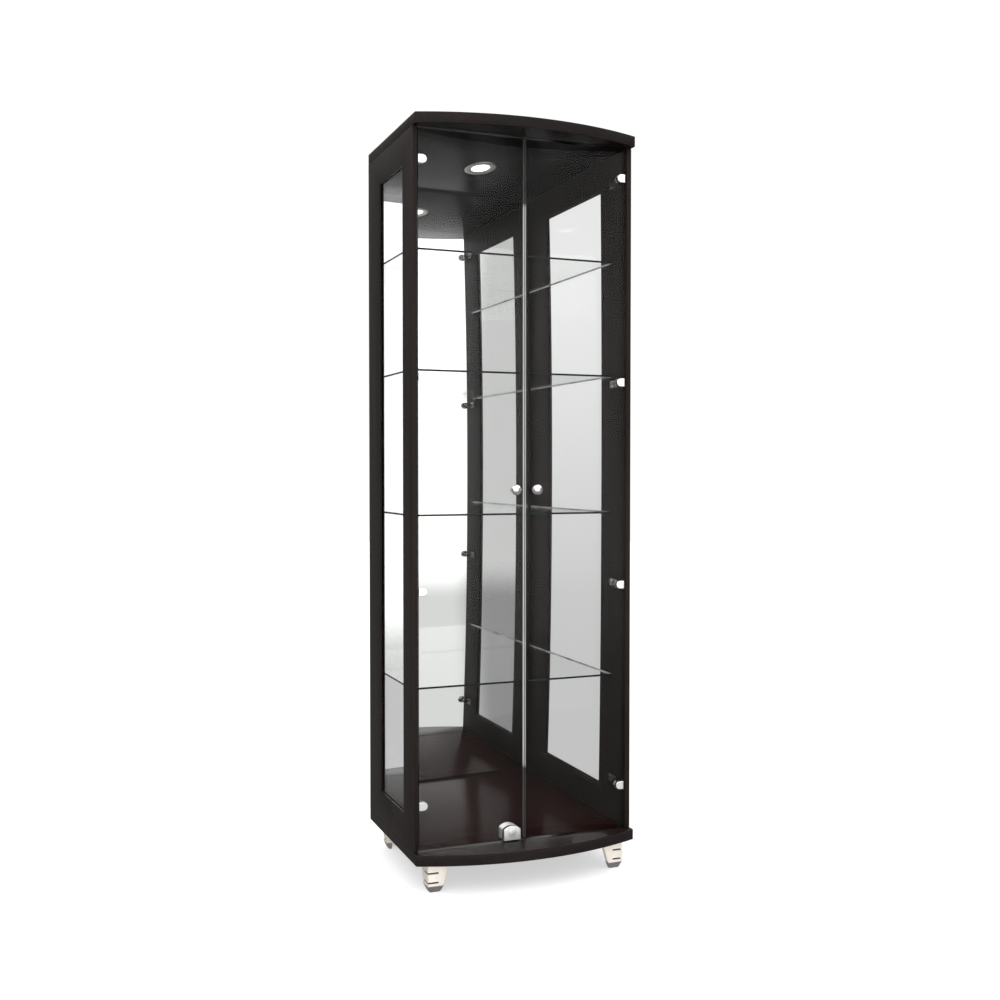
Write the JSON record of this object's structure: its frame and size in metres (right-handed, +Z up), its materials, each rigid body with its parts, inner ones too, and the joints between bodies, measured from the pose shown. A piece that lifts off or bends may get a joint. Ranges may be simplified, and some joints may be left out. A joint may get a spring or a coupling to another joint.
{
  "type": "display case",
  "caption": "Tall case with a bowed top and base, hinged glass doors, side windows, a mirror back, glass shelves, a ceiling light and a glass door lock.",
  "frame": {"origin": "middle of the whole object's box, on the floor under its feet", "axes": "+Z up, -Y out of the front with the doors, +X to the right seen from the front"},
  "size_m": [0.6, 0.49, 1.917],
  "materials": {
    "espresso_wood": "satin, dark espresso wood-grain foil",
    "clear_glass": "polished clear float glass",
    "mirror_silver": "silvered mirror",
    "bright_chrome": "bright plated",
    "nickel_steel": "satin nickel plated",
    "satin_metal": "satin",
    "dark_plastic": "dark moulded shelf pegs",
    "white_diffuser": "frosted white lens of a lit downlight"
  },
  "bodies": {
    "case": {"base_panel": "espresso_wood", "top_panel": "espresso_wood", "left_side_panel": "espresso_wood", "right_side_panel": "espresso_wood", "back_panel": "espresso_wood", "mirror": "mirror_silver", "left_side_glass": "clear_glass", "right_side_glass": "clear_glass", "left_glazing_bead": "espresso_wood", "right_glazing_bead": "espresso_wood", "shelf_1": "clear_glass", "shelf_2": "clear_glass", "shelf_3": "clear_glass", "shelf_4": "clear_glass", "shelf_pin_1_front_left": "dark_plastic", "shelf_pin_1_front_right": "dark_plastic", "shelf_pin_1_rear_left": "dark_plastic", "shelf_pin_1_rear_right": "dark_plastic", "shelf_pin_2_front_left": "dark_plastic", "shelf_pin_2_front_right": "dark_plastic", "shelf_pin_2_rear_left": "dark_plastic", "shelf_pin_2_rear_right": "dark_plastic", "shelf_pin_3_front_left": "dark_plastic", "shelf_pin_3_front_right": "dark_plastic", "shelf_pin_3_rear_left": "dark_plastic", "shelf_pin_3_rear_right": "dark_plastic", "shelf_pin_4_front_left": "dark_plastic", "shelf_pin_4_front_right": "dark_plastic", "shelf_pin_4_rear_left": "dark_plastic", "shelf_pin_4_rear_right": "dark_plastic", "foot_front_left": "satin_metal", "foot_front_right": "satin_metal", "foot_rear_left": "satin_metal", "foot_rear_right": "satin_metal", "downlight_bezel": "satin_metal", "downlight_lens": "white_diffuser", "hinge_bracket_left_1": "nickel_steel", "hinge_bracket_left_2": "nickel_steel", "hinge_bracket_left_3": "nickel_steel", "hinge_bracket_left_4": "nickel_steel", "hinge_bracket_right_1": "nickel_steel", "hinge_bracket_right_2": "nickel_steel", "hinge_bracket_right_3": "nickel_steel", "hinge_bracket_right_4": "nickel_steel", "lock_strike": "nickel_steel"},
    "left_door": {"left_door_glass": "clear_glass", "hinge_clamp_left_1": "bright_chrome", "hinge_clamp_left_2": "bright_chrome", "hinge_clamp_left_3": "bright_chrome", "hinge_clamp_left_4": "bright_chrome", "left_knob": "bright_chrome", "lock_housing": "bright_chrome"},
    "right_door": {"right_door_glass": "clear_glass", "hinge_clamp_right_1": "bright_chrome", "hinge_clamp_right_2": "bright_chrome", "hinge_clamp_right_3": "bright_chrome", "hinge_clamp_right_4": "bright_chrome", "right_knob": "bright_chrome"},
    "lock_plug": {"lock_plug": "bright_chrome"},
    "lock_bolt": {"lock_bolt": "nickel_steel"}
  },
  "joints": [
    {"name": "left_door_hinge", "type": "hinge", "parent": "case", "child": "left_door", "pos_m": [-0.269, -0.151, 0.072], "axis": [0, 0, -1], "range_deg": [0, 90]},
    {"name": "right_door_hinge", "type": "hinge", "parent": "case", "child": "right_door", "pos_m": [0.269, -0.151, 0.072], "axis": [0, 0, 1], "range_deg": [0, 90]},
    {"name": "lock_plug_turn", "type": "hinge", "parent": "left_door", "child": "lock_plug", "pos_m": [-0.03625, -0.159, 0.1225], "axis": [0, 1, 0], "range_deg": [0, 90]},
    {"name": "lock_bolt_slide", "type": "slide", "parent": "left_door", "child": "lock_bolt", "axis": [0, 0, -1], "range_m": [0, 0.012]}
  ],
  "couplings": [
    {"joint": "lock_bolt_slide", "follows": "lock_plug_turn", "m_per_rad": 0.00763}
  ]
}
